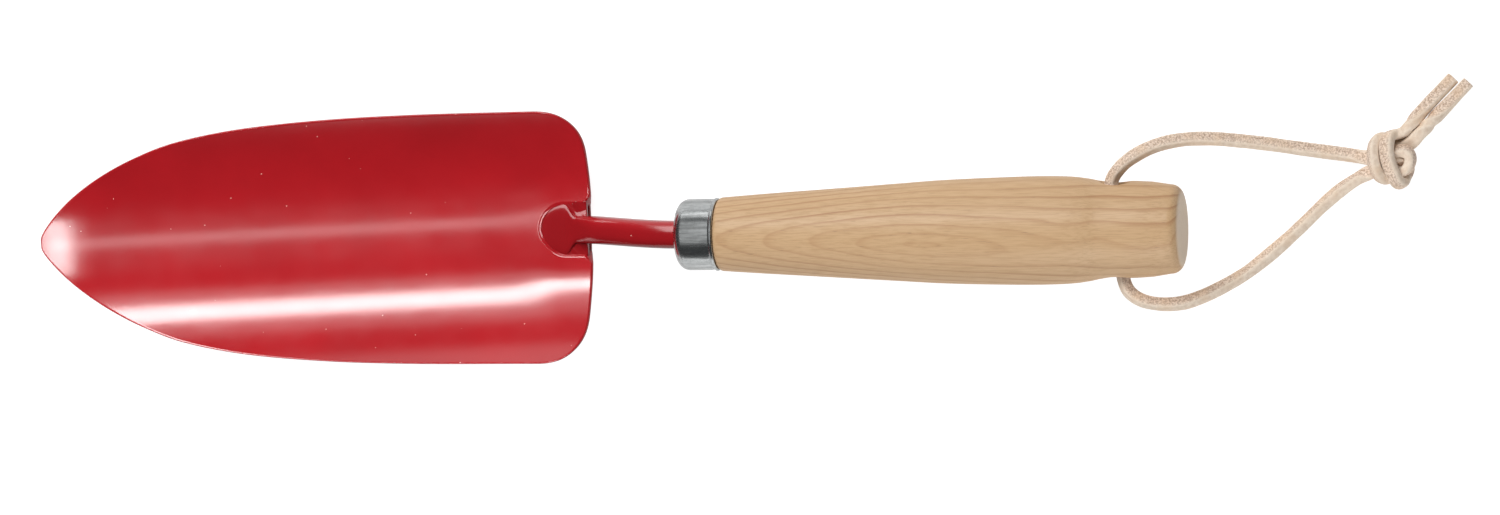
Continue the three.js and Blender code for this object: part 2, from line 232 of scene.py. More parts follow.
def strand_routes():
    """Both strands as points half a millimetre apart, and how many of each are in its leg."""
    routes, legs = [], []
    for leg, knotted in ((LACE_UPPER_ROUTE, KNOT_FROM_UPPER), (LACE_LOWER_ROUTE, KNOT_FROM_LOWER)):
        leg_line = evenly(smooth_through(leg, 12), LACE_STEP)
        rest = [(KNOT_MIDDLE[0] + u * MM, KNOT_MIDDLE[1] + v * MM, z * MM) for u, v, z in knotted]
        rest_line = evenly(smooth_through([leg[-2], leg[-1], *rest], 12)[12:], LACE_STEP)
        routes.append(np.vstack([leg_line[:-1], rest_line]))
        legs.append(len(leg_line) - 1)
    return routes, legs


def pushed_apart(points, split):
    """How far each point moves away from those that it touches. The second strand starts at split."""
    order = np.concatenate([np.arange(split), OTHER_STRAND + np.arange(len(points) - split)])
    apart = points[:, None] - points[None]
    gap = np.linalg.norm(apart, axis=2) + 1e-9
    touching = (gap < STRAND_SPACE) & (np.abs(order[:, None] - order[None]) > NEAR_BY_POINTS)
    push = np.where(touching, (STRAND_SPACE - gap) / gap * SETTLE_PUSH, 0)
    return np.clip((apart * push[:, :, None]).sum(1), -SETTLE_LIMIT, SETTLE_LIMIT)


def settle(routes, legs):
    """Pulls the knotted stretches smooth and pushes strands apart that would lie in each other."""
    free = [(n, len(line) - TAIL_POINTS) for line, n in zip(routes, legs)]
    split = free[0][1] - free[0][0] + LEAD_POINTS
    for _ in range(SETTLE_ROUNDS):
        for line, (first, last) in zip(routes, free):
            smooth = (line[first - 1:last - 1] + line[first + 1:last + 1]) / 2
            line[first:last] += SETTLE_SMOOTHING * (smooth - line[first:last])
        points = np.vstack([line[first - LEAD_POINTS:last] for line, (first, last) in zip(routes, free)])
        moved = pushed_apart(points, split)
        for line, (first, last), part in zip(routes, free, (moved[:split], moved[split:])):
            line[first:last] += part[LEAD_POINTS:]
            line[first:last, 2] = np.maximum(line[first:last, 2], LACE_THICKNESS / 2)


def strand_frames(line, leg_count, leg_turn, knot_turn, tail_turn):
    """The section's side and up direction at each point, and how far inside the knot it is, from 0 to 1.
    Up is out of the knot inside it. The turns are about the line, in radians; the leg's is a pair, at the
    handle and at the knot."""
    ahead = np.gradient(line, axis=0)
    ahead /= np.linalg.norm(ahead, axis=1)[:, None]
    up = np.array([0, 0, 1.0])
    frames = []
    for i, (at, t) in enumerate(zip(line, ahead)):
        out = at - KNOT_MIDDLE
        distance = np.linalg.norm(out)
        inside = float(1 - smooth_step(0.8 * KNOT_REACH, 1.4 * KNOT_REACH, distance))
        wanted = inside * out / max(distance, 0.004) + (1 - inside) * np.array([0, 0, 1.0])
        up = up + UP_FOLLOWS * (wanted - t * (wanted @ t))
        up = up - t * (up @ t)
        up /= np.linalg.norm(up)
        side = np.cross(t, up)
        along = min(i / leg_count, 1)
        outside = leg_turn[0] + (leg_turn[1] - leg_turn[0]) * along if along < 1 else tail_turn
        turn = outside * (1 - inside) + knot_turn * inside
        across = math.cos(turn) * side + math.sin(turn) * up
        over = math.cos(turn) * up - math.sin(turn) * side
        frames.append((across, over, inside))
    return frames


def strand_rings(line, frames, seed):
    """One ring of vertices for each point of the line."""
    angles = 2 * np.pi * (np.arange(LACE_SIDES) + 0.5) / LACE_SIDES
    reach = np.arange(len(line)) * LACE_STEP
    rings = []
    for i, (at, (side, up, inside)) in enumerate(zip(line, frames)):
        power = SQUARE_POWER + (KNOTTED_POWER - SQUARE_POWER) * inside
        c, s = np.cos(angles), np.sin(angles)
        across = np.sign(c) * np.abs(c) ** (2 / power)
        over = np.sign(s) * np.abs(s) ** (2 / power)
        uneven, uneven_too, askew = (
            wavy(reach[i] / length, seed + k) for k, length in enumerate((0.004, 0.005, 0.006)))
        wide = LACE_WIDTH / 2 * (1 + STRAND_UNEVENNESS * uneven + KNOTTED_WIDER * inside)
        thick = LACE_THICKNESS / 2 * (1 + STRAND_UNEVENNESS * uneven_too - KNOTTED_THINNER * inside)
        skew = STRAND_SKEW * askew
        over = over + skew * across
        rings.append(at + np.outer(across * wide, side) + np.outer(over * thick, up))
    return rings


def round_off(rings, middle):
    """Rings that close an end: the last ring, drawn in a little."""
    last = rings[-1]
    ahead = last.mean(0) - rings[-2].mean(0)
    ahead /= np.linalg.norm(ahead)
    return [middle + (last - middle) * share + ahead * past for share, past in
            ((0.97, 0.00012), (0.9, 0.00022), (0.6, 0.00026), (0.25, 0.00028))]


def thong_object(name, strands):
    """One object of strands of rings, with a UV map of (round, along in centimetres) for its leather.
    A strand is its rings and how far along the thong it starts."""
    points, faces, marks = [], [], []
    for rings, start in strands:
        first = len(points)
        for i, ring in enumerate(rings):
            points += [tuple(p) for p in ring]
            marks += [(k / LACE_SIDES, start + i * LACE_STEP) for k in range(LACE_SIDES)]
        faces += ring_faces(len(rings), LACE_SIDES, first)
        last = first + (len(rings) - 1) * LACE_SIDES
        faces.append(tuple(range(first, first + LACE_SIDES))[::-1])
        faces.append(tuple(range(last, last + LACE_SIDES)))
    made = mesh_object(name, points, faces)
    layer = made.data.uv_layers.new(name="thong")
    for polygon in made.data.polygons:
        rounds = [marks[v][0] for v in polygon.vertices]
        wraps = len(rounds) == 4 and max(rounds) - min(rounds) > 0.5
        for corner, vertex in zip(polygon.loop_indices, polygon.vertices):
            u = marks[vertex][0] + (1 if wraps and marks[vertex][0] < 0.5 else 0)
            layer.data[corner].uv = (u, marks[vertex][1] * 100)
    return made


def make_thong():
    """The two legs with their centrelines, and the knot with the tails."""
    routes, leg_counts = strand_routes()
    settle(routes, leg_counts)
    place = np.array([HOLE_X, 0, 0])
    legs, knotted = [], []
    for name, line, count, turns, seed in zip(
            ("leg_upper", "leg_lower"), routes, leg_counts, STRAND_TURNS, (3, 8)):
        rings = [ring + place for ring in strand_rings(line, strand_frames(line, count, *turns), seed)]
        leg = thong_object(name, [(rings[:count + 1], 0)])
        legs.append((leg, line[:count + 1] + place))
        ended = rings[count:] + round_off(rings, line[-1] + place)
        knotted.append((ended, count * LACE_STEP))
    return legs, thong_object("knot", knotted)


# ---- Blade ---------------------------------------------------------------------------------------

BLADE_LENGTH = BLADE_REAR_X - TIP_X
SHEET = 0.0015
GAP = 0.0003
PADDLE_THICKNESS = 0.0034
PADDLE_Z = SHEET + 2 * GAP + PADDLE_THICKNESS / 2
PADDLE_TOP = PADDLE_Z + PADDLE_THICKNESS / 2
TROUGH_DEPTH = 0.0135
TROUGH_POWER = 2.1
TROUGH_YAW = math.radians(1.8)  # the pressing sits a little askew in the outline
CORNER_RADIUS = 0.0135
CORNER_POWER = 2.5
TIP_RISE = 0.013
CURL_LENGTH = 0.150
CURL_POWER = 1.6
LIP_RISE = 0.0012  # a little more curl in the last of the tip
LIP_LENGTH = 0.016
FLATTENING = 0.4  # of the trough beside the pocket
FLAT_REACH = 0.008
BEVEL_RISE = 0.00015  # of the pocket's rim
BEVEL_REACH = 0.0004
POCKET_DEPTH = 0.004
POCKET_RADIUS = 0.0077
POCKET_LENGTH = 0.0154
POCKET_Y = 0.0008  # a little to the left of the middle
WALL_LEAN = 0.34  # of the pocket's rear end, forwards and down
WALL_REACH = 0.004  # from the blade's rear edge to where that lean starts
WALL_FOOT = 0.0011  # inside the rim, where the paint starts to rise from the pocket's floor
WALL_HEAD = 0.0007  # inside the rim, where it is level with the paddle
FILLET_HEAD = 0.0001  # inside the rim, where it meets the sheet
SEAT_DROP = 0.00012  # of the paint round the paddle, below the paddle's top
PRESSED_INSIDE = 0.0002  # of the rim, where the underside is at its lowest
PRESSED_OUTSIDE = 0.0020  # of the rim, where the underside is the trough's again
FRONT_SQUASH = 0.10  # of the right half of the pocket's round front
POCKET_X = BLADE_REAR_X - POCKET_LENGTH + POCKET_RADIUS  # the middle of its round front
BLADE_OUTLINE = [
    (0, 0.045), (0.0096, 0.115), (0.037, 0.25), (0.0788, 0.4), (0.137, 0.553), (0.2056, 0.688),
    (0.288, 0.806), (0.411, 0.902), (0.576, 0.964), (0.754, 0.992), (1, 1),
]
EDGE_ROUNDING = 0.00035
EDGE_STEP = 0.0008  # between points round the outline
TIP_BOW = 0.0006
# Distances from the edge of the rings of points inside it.
EDGE_STEPS = (0, 0.000015, 0.00005, 0.00012, 0.00022, 0.00035, 0.0007, 0.0015, 0.0030)
RIM_STEP = 0.00014
RIM_BAND = 0.0016  # each side of the pocket's rim, which the grid leaves to the rim's own rings
GRID_STEP = 0.0016


def blade_edge():
    """Points round the blade's outline, anticlockwise from above, starting at the tip."""
    straight = BLADE_LENGTH - CORNER_RADIUS
    side = [(a * straight, b * HALF_WIDTH) for a, b in smooth_through(BLADE_OUTLINE, 14)]
    side[0] = (0.0, side[0][1])
    steps = 22
    for i in range(1, steps):
        along = math.sin(math.pi / 2 * i / steps)
        out = (1 - along**CORNER_POWER) ** (1 / CORNER_POWER)
        side.append((straight + CORNER_RADIUS * along, HALF_WIDTH - CORNER_RADIUS * (1 - out)))
    side.append((BLADE_LENGTH, HALF_WIDTH - CORNER_RADIUS * 0.98))
    upper = np.array(side)
    lower = upper[::-1] * (1, -1)
    tip = upper[0][1]
    bow = [(-TIP_BOW * math.cos(a) + 0.00002, tip * math.sin(a)) for a in np.linspace(-1.2, 1.2, 5)]
    ring = np.vstack([upper[::-1], bow[::-1], lower[::-1]])
    ring = np.vstack([ring, ring[:1]])
    ring[:, 0] = np.clip(ring[:, 0], 0, BLADE_LENGTH) + TIP_X
    return evenly(ring, EDGE_STEP)[:-1]


def inset(ring, amount):
    """The ring drawn in by an amount."""
    ahead = np.roll(ring, -1, 0) - np.roll(ring, 1, 0)
    ahead /= np.linalg.norm(ahead, axis=1)[:, None]
    return ring + amount * np.stack([-ahead[:, 1], ahead[:, 0]], 1)


def edge_distance(points, ring):
    """How far each point is from the nearest stretch of the outline."""
    a, b = ring, np.roll(ring, -1, 0)
    nearest = np.full(len(points), 1.0)
    for start, end in zip(a, b):
        along = end - start
        t = np.clip(((points - start) @ along) / (along @ along), 0, 1)
        nearest = np.minimum(nearest, np.linalg.norm(points - start - t[:, None] * along, axis=1))
    return nearest


def pocket_distance(x, y):
    """Distance from the pocket's middle line, which runs back from the middle of its round front."""
    front = np.minimum(x - POCKET_X, 0)
    off = y - POCKET_Y
    squash = 1 + FRONT_SQUASH * smooth_step(0, 1, -front / POCKET_RADIUS) * smooth_step(0, 0.006, -off)
    return np.hypot(front, off) * squash


def sheet_underside(x, y):
    """Height of the trough's underside, without the pocket."""
    curl = np.maximum(0, 1 - (x - TIP_X) / CURL_LENGTH)
    askew = y - TROUGH_YAW * (x - (TIP_X + BLADE_REAR_X) / 2)
    beside = np.maximum(0, pocket_distance(x, y) - POCKET_RADIUS) / FLAT_REACH
    flattened = 1 - FLATTENING * np.exp(-beside**2)
    trough = TROUGH_DEPTH * (np.abs(askew) / HALF_WIDTH) ** TROUGH_POWER * flattened
    lip = LIP_RISE * np.maximum(0, 1 - (x - TIP_X) / LIP_LENGTH) ** 2
    return POCKET_DEPTH + TIP_RISE * curl**CURL_POWER + trough + lip


def sheet_height(y):
    """The sheet's thickness as measured straight up."""
    slope = TROUGH_DEPTH * TROUGH_POWER / HALF_WIDTH * (np.abs(y) / HALF_WIDTH) ** (TROUGH_POWER - 1)
    return SHEET * np.hypot(1, slope)


def blade_heights(x, y, rim_distance):
    """The sheet's lower and upper height at points, with the pocket pressed down, paint up to the paddle
    in it and the edge rounded."""
    under = sheet_underside(x, y)
    over = under + sheet_height(y)
    r = pocket_distance(x, y)
    seat = PADDLE_TOP - SEAT_DROP
    wall = smooth_step(POCKET_RADIUS - WALL_FOOT, POCKET_RADIUS - WALL_HEAD, r)
    fillet = smooth_step(POCKET_RADIUS - WALL_HEAD, POCKET_RADIUS - FILLET_HEAD, r)
    bevel = np.clip((r - POCKET_RADIUS) / BEVEL_REACH + 0.5, 0, 1)
    bulged = smooth_step(POCKET_RADIUS - PRESSED_INSIDE, POCKET_RADIUS + PRESSED_OUTSIDE, r)
    over = SHEET + (seat - SHEET) * wall + (over - BEVEL_RISE - seat) * fillet + BEVEL_RISE * bevel
    under = under * bulged
    middle, half = (over + under) / 2, (over - under) / 2
    share = np.clip(rim_distance / EDGE_ROUNDING, 0, 1)
    half = half * np.sqrt(np.maximum(0, 1 - (1 - share) ** 2))
    return middle - half, middle + half


def pocket_rings():
    """Points along the pocket's rim, in rings a small step apart."""
    points = []
    for r in np.arange(POCKET_RADIUS - WALL_FOOT, POCKET_RADIUS + 0.0012, RIM_STEP):
        points += [(POCKET_X + r * math.cos(a), POCKET_Y + r * math.sin(a))
                   for a in np.linspace(math.pi / 2, 3 * math.pi / 2, 46)]
        back = np.arange(POCKET_X + 0.0006, BLADE_REAR_X - 0.0002, 0.0006)
        points += [(x, POCKET_Y + side * r) for side in (1, -1) for x in back]
    return np.array(points)


def inside_of(points, ring):
    """Which points are inside a closed ring."""
    x, y = points[:, 0], points[:, 1]
    crossings = np.zeros(len(points), int)
    for (x0, y0), (x1, y1) in zip(ring, np.roll(ring, -1, 0)):
        if y0 == y1:
            continue
        spans = (y0 > y) != (y1 > y)
        crossings += spans & (x < x0 + (y - y0) * (x1 - x0) / (y1 - y0))
    return crossings % 2 == 1


def rim_gap(points):
    """How far each point is from the pocket's rim."""
    return np.abs(pocket_distance(points[:, 0], points[:, 1]) - POCKET_RADIUS)


def blade_points(edge):
    """The points of the blade's mesh: rings inside its edge, a staggered grid and the pocket's rings."""
    xs = np.arange(TIP_X, BLADE_REAR_X, GRID_STEP)
    ys = np.arange(-HALF_WIDTH, HALF_WIDTH, GRID_STEP)
    grid_x, grid_y = (part.ravel() for part in np.meshgrid(xs, ys))
    stagger = 0.4 * GRID_STEP * (np.round(grid_y / GRID_STEP) % 2)
    grid = np.stack([grid_x + stagger, grid_y], 1)
    inner = np.vstack([grid[rim_gap(grid) > RIM_BAND], pocket_rings()])
    inner = inner[inside_of(inner, edge)]
    from_edge = edge_distance(inner, edge)
    on_rim = (rim_gap(inner) < RIM_BAND) & (from_edge > 0.0002)
    inner = inner[(from_edge > EDGE_STEPS[-1] * 1.2) | on_rim]
    return np.vstack([*(inset(edge, amount) for amount in EDGE_STEPS), inner])


def make_blade():
    edge = blade_edge()
    borders = [(i, (i + 1) % len(edge)) for i in range(len(edge))]
    points = [Vector(p) for p in blade_points(edge)]
    flat, _, triangles, *_ = delaunay_2d_cdt(points, borders, [], 1, 1e-7)
    flat = np.array([tuple(p) for p in flat])
    distance = edge_distance(flat, edge)
    low, high = blade_heights(flat[:, 0], flat[:, 1], distance)
    pressed = sheet_underside(flat[:, 0], flat[:, 1]) - low
    at_rear = smooth_step(BLADE_REAR_X - WALL_REACH, BLADE_REAR_X, flat[:, 0])
    flat[:, 0] -= WALL_LEAN * (pressed * at_rear)
    return close_sheet("blade_sheet", flat, triangles, low, high, distance < 1e-6)


def close_sheet(name, flat, triangles, low, high, on_edge):
    """One closed skin from a flat triangulation and two heights, which share the vertices on the edge."""
    count = len(flat)
    above = np.where(on_edge, np.arange(count), count + np.arange(count))
    points = [(x, y, z) for (x, y), z in zip(flat, low)] + [(x, y, z) for (x, y), z in zip(flat, high)]
    faces = [tuple(reversed(t)) for t in triangles] + [tuple(int(above[v]) for v in t) for t in triangles]
    used = sorted({v for face in faces for v in face})
    renumber = {old: new for new, old in enumerate(used)}
    return mesh_object(name, [points[v] for v in used], [tuple(renumber[v] for v in f) for f in faces])


# ---- Shank and welds -----------------------------------------------------------------------------

FERRULE_WALL = 0.0008
ROD_RADIUS = 0.0039
PADDLE_POWER = 6  # squareness of the section at the paddle
NECK_POWER = 2.8  # and along the neck
PADDLE_RADIUS = POCKET_RADIUS - 0.00015
SHOULDER_LENGTH = 0.0034
TANG_LENGTH = 0.065
TANG_END_RADIUS = 0.0026
WELD_LENGTH = 0.0078
WELD_INSET = 0.0006  # from the blade's rear edge
WELD_ROUNDING = 0.0008
WELD_CLIMB = 0.0010  # up the neck, above its middle line
WELD_DROP = 0.00006  # below the paddle's top
WELD_UNEVENNESS = 0.00005
FILL_LENGTH = 0.0056
FILL_SLANT = 0.45  # of its front, back towards the pocket's wall
FILL_DROP = 0.00003  # below the blade
FILL_ROUNDING = 0.0005
RISE_START_X = POCKET_X - 0.004
RISE_END_X = FERRULE_X + 0.004


def shank_centre(x):
    return PADDLE_Z + (AXIS_Z - PADDLE_Z) * float(smooth_step(RISE_START_X, RISE_END_X, x))


def shank_ring(x, wide, high, power, sides=48):
    """The section at x: its half width and half height, and how square it is."""
    centre = shank_centre(x)
    aside = POCKET_Y * (1 - float(smooth_step(POCKET_X, FERRULE_X - 0.002, x)))
    ring = []
    for k in range(sides):
        angle = 2 * math.pi * (k + 0.5) / sides
        c, s = math.cos(angle), math.sin(angle)
        across = math.copysign(abs(c) ** (2 / power), c)
        over = math.copysign(abs(s) ** (2 / power), s)
        ring.append((x, aside + wide * across, centre + high * over))
    return ring


def shank_size(x):
    """Half width, half height and squareness of the section at x."""
    ahead = max(0, POCKET_X - x)
    round_front = math.sqrt(max(0, PADDLE_RADIUS**2 - ahead**2))
    shoulder = float(smooth_step(POCKET_X, POCKET_X + SHOULDER_LENGTH, x))
    wide = round_front + (ROD_RADIUS - round_front) * shoulder
    slope = (shank_centre(x + 0.0005) - shank_centre(x - 0.0005)) / 0.001
    thicken = float(smooth_step(POCKET_X, BLADE_REAR_X + ROD_RADIUS, x))
    flat = PADDLE_THICKNESS / 2 * min(1, round_front / PADDLE_RADIUS) ** 0.35
    high = (flat + (ROD_RADIUS - flat) * thicken) * math.hypot(1, slope)
    rounder = float(smooth_step(POCKET_X - 0.002, POCKET_X + 0.008, x))
    power = PADDLE_POWER + (NECK_POWER - PADDLE_POWER) * rounder
    return wide, high, power


def make_shank():
    front = POCKET_X - PADDLE_RADIUS
    steps = 24
    stations = [front + PADDLE_RADIUS * (1 - math.cos(math.pi / 2 * i / steps)) for i in range(steps)]
    stations[0] = front + 0.00002
    stations += list(np.linspace(POCKET_X, FERRULE_X, 90))
    rings = [shank_ring(x, *shank_size(x)) for x in stations]
    tang = FERRULE_X + FERRULE_WALL + GAP
    rings.append(shank_ring(tang, ROD_RADIUS, ROD_RADIUS, 2))
    rings.append(shank_ring(tang + TANG_LENGTH, TANG_END_RADIUS, TANG_END_RADIUS, 2))
    sides = len(rings[0])
    points = [p for ring in rings for p in ring]
    faces = ring_faces(len(rings), sides)
    faces.append(tuple(range(sides))[::-1])
    faces.append(tuple(range(len(points) - sides, len(points))))
    return mesh_object("forged_shank", points, faces)


def weld_top(side, x, y):
    """Height of a bead's top: a fillet beside the neck, and on the left a fill on it that is level with the
    blade behind a slanting front."""
    off = np.abs(y - POCKET_Y)
    across = np.clip((off - ROD_RADIUS) / (POCKET_RADIUS - ROD_RADIUS), 0, 1)
    shelf = PADDLE_TOP - WELD_DROP
    top = shelf + max(0, shank_centre(x) + WELD_CLIMB - shelf) * (1 - across) ** 4
    if side < 0:
        return top
    level = sheet_underside(x, y) + sheet_height(y) - FILL_DROP
    front = BLADE_REAR_X - FILL_LENGTH + FILL_SLANT * (POCKET_RADIUS - off)
    return np.maximum(top, shelf + (level - shelf) * smooth_step(0, FILL_ROUNDING, x - front))


def make_weld(side, name):
    """A bead in the corner between the neck, the paddle and the pocket's wall."""
    inner = ROD_RADIUS - 0.0014
    outer = POCKET_RADIUS + 0.0004 if side > 0 else POCKET_RADIUS - 0.0004
    floor = SHEET + GAP
    across = POCKET_Y + side * np.linspace(inner, outer, 30)[::side]
    points = []
    stations = np.linspace(BLADE_REAR_X - WELD_LENGTH, BLADE_REAR_X - WELD_INSET, 50)
    for i, x in enumerate(stations):
        back = min(1, (stations[-1] - x) / WELD_ROUNDING + 0.02)
        top = floor + (weld_top(side, x, across) - floor) * math.sqrt(1 - (1 - back) ** 2)
        top = top + WELD_UNEVENNESS * wavy(across / 0.0008 + i * 0.2, 5)
        pulled = WALL_LEAN * float(smooth_step(WALL_REACH, 0, BLADE_REAR_X - x))
        points += [(x - pulled * max(0, PADDLE_TOP - z), y, z) for y, z in zip(across, top)]
        points += [(x - pulled * (PADDLE_TOP - floor), y, floor - 0.0001) for y in across[::-1]]
    around = 2 * len(across)
    faces = [f[::-1] for f in ring_faces(len(stations), around)]
    faces.append(tuple(range(around)))
    faces.append(tuple(range(len(points) - around, len(points)))[::-1])
    return mesh_object(name, points, faces)


# ---- Ferrule and handle --------------------------------------------------------------------------

FERRULE_RADIUS = 0.010
FERRULE_ROUNDING = 0.0034
FERRULE_LIP = 0.00025
FERRULE_ROLL = 0.00055  # radius of the lip's rolled edge
HANDLE_LENGTH = BUTT_X - WOOD_X
BUTT_ROUNDING = 0.0033
HOLE_RADIUS = 0.0035
COUNTERSINK = 0.0011
NECKED_SHARE = 0.887  # of the swell's radius, where the handle is at the cross hole
WOOD_UNEVENNESS = 0.00005
WOOD_OUTSIDE = 0.0095  # radius from which the wood is uneven
# The wood's outline: shares of its length and of the swell's radius.
HANDLE_OUTLINE = [
    (0.109, 0.7475), (0.209, 0.802), (0.308, 0.857), (0.397, 0.907), (0.485, 0.955),
    (0.6, 0.988), (0.703, 1), (0.763, 0.984), (0.798, 0.948), (0.829, 0.898), (0.852, 0.887),
    (0.895, 0.892), (0.936, 0.874),
]
TURNED_SIDES = 144


def arc(x, radius, size, start, end, steps):
    """Points [x, radius] on an arc of a given size round [x, radius]."""
    angles = np.linspace(start, end, steps + 1)
    return [(x + size * math.cos(a), radius + size * math.sin(a)) for a in angles]


def turned(profile, uneven=0.0):
    """Rings of points about the handle's axis, one for each [x, radius], and the faces between them."""
    points = []
    for x, radius in profile:
        for k in range(TURNED_SIDES):
            angle = 2 * math.pi * k / TURNED_SIDES
            wave = uneven * wavy(2 * angle, 21, 3) * wavy(x / 0.02, 22, 3) if radius > WOOD_OUTSIDE else 0
            r = radius + wave
            points.append((x, r * math.cos(angle), AXIS_Z + r * math.sin(angle)))
    return points, ring_faces(len(profile), TURNED_SIDES)


def make_ferrule():
    inside = FERRULE_RADIUS - FERRULE_WALL
    corner = FERRULE_X + FERRULE_ROUNDING
    hole = ROD_RADIUS + GAP
    lip = FERRULE_RADIUS + FERRULE_LIP
    roll = FERRULE_ROLL
    profile = [(FERRULE_X + 0.0003, hole), (FERRULE_X, hole + 0.0003)]
    profile += arc(corner, FERRULE_RADIUS - FERRULE_ROUNDING, FERRULE_ROUNDING, math.pi, math.pi / 2, 14)
    profile.append((WOOD_X - 2 * roll - 0.0012, FERRULE_RADIUS))
    profile.append((WOOD_X - 2 * roll - 0.0004, FERRULE_RADIUS - 0.00008))
    profile += arc(WOOD_X - roll, lip - roll, roll, math.pi * 0.86, 0, 12)
    profile += [(WOOD_X, inside)]
    profile += arc(corner, inside - FERRULE_ROUNDING + FERRULE_WALL, FERRULE_ROUNDING - FERRULE_WALL,
                   math.pi / 2, math.pi, 8)
    profile += [(FERRULE_X + FERRULE_WALL, hole)]
    points, faces = turned(profile)
    last = (len(profile) - 1) * TURNED_SIDES
    for k in range(TURNED_SIDES):
        faces.append((last + k, last + (k + 1) % TURNED_SIDES, (k + 1) % TURNED_SIDES, k))
    return mesh_object("ferrule_cap", points, faces)


def wood_outline():
    """[x, radius] along the wood that shows, from the ferrule round the butt's edge."""
    front = (0, (FERRULE_RADIUS + FERRULE_LIP) / SWELL_RADIUS)
    rounding = BUTT_X - BUTT_ROUNDING
    line = smooth_through([front, *HANDLE_OUTLINE], 12)
    line = [(WOOD_X + a * HANDLE_LENGTH, b * SWELL_RADIUS) for a, b in line]
    line = [p for p in line if p[0] < rounding - 0.001]
    end = line[-1][1] - 0.0008
    chamfer = [(WOOD_X + GAP, line[0][1] - 0.0004), (WOOD_X + GAP + 0.0004, line[0][1] - 0.00008)]
    return chamfer + line[1:] + arc(rounding, end - BUTT_ROUNDING, BUTT_ROUNDING, math.pi / 2, 0, 14)


def spool(name):
    """The cross hole's shape: a rod along Y with flared ends."""
    reach, rim = SWELL_RADIUS + 0.001, SWELL_RADIUS * NECKED_SHARE
    half = [(HOLE_RADIUS, 0), (HOLE_RADIUS, rim - 1.5 * COUNTERSINK)]
    for share in np.linspace(0.15, 1, 7):
        half.append((HOLE_RADIUS + COUNTERSINK * share**2, rim + COUNTERSINK * 1.5 * (share - 1)))
    half.append((HOLE_RADIUS + COUNTERSINK + 0.001, reach))
    profile = [(r, -y) for r, y in half[:0:-1]] + half[1:]
    sides = 72
    angles = [2 * math.pi * k / sides for k in range(sides)]
    points = [(HOLE_X + r * math.cos(a), y, AXIS_Z + r * math.sin(a)) for r, y in profile for a in angles]
    faces = [f[::-1] for f in ring_faces(len(profile), sides)]
    faces.append(tuple(range(sides)))
    faces.append(tuple(range(len(points) - sides, len(points)))[::-1])
    return mesh_object(name, points, faces)


def cut(piece, tool):
    """Takes the tool out of the piece, and the tool away."""
    modifier = piece.modifiers.new("cut", "BOOLEAN")
    modifier.operation = "DIFFERENCE"
    modifier.solver = "EXACT"
    modifier.object = tool
    with bpy.context.temp_override(object=piece, active_object=piece):
        bpy.ops.object.modifier_apply(modifier="cut")
    bpy.data.objects.remove(tool)


def make_handle():
    tenon_x = FERRULE_X + FERRULE_WALL + GAP
    tenon = FERRULE_RADIUS - FERRULE_WALL - GAP
    rounding = FERRULE_ROUNDING - FERRULE_WALL
    bore_end = tenon_x + TANG_LENGTH + 0.002
    profile = [(bore_end, 0.0001), (bore_end, TANG_END_RADIUS + GAP), (tenon_x, ROD_RADIUS + 2 * GAP)]
    profile += arc(tenon_x + rounding, tenon - rounding, rounding, math.pi, math.pi / 2, 6)
    profile += [(WOOD_X + GAP, tenon)]
    profile += wood_outline()
    profile += [(BUTT_X, 0.005), (BUTT_X, 0.0001)]
    points, faces = turned(profile, WOOD_UNEVENNESS)
    faces.append(tuple(range(TURNED_SIDES))[::-1])
    faces.append(tuple(range(len(points) - TURNED_SIDES, len(points))))
    wood = mesh_object("turned_handle", points, faces)
    cut(wood, spool("cross_hole"))
    wood.data.set_sharp_from_angle(angle=math.radians(40))
    return wood


# ---- Materials -----------------------------------------------------------------------------------


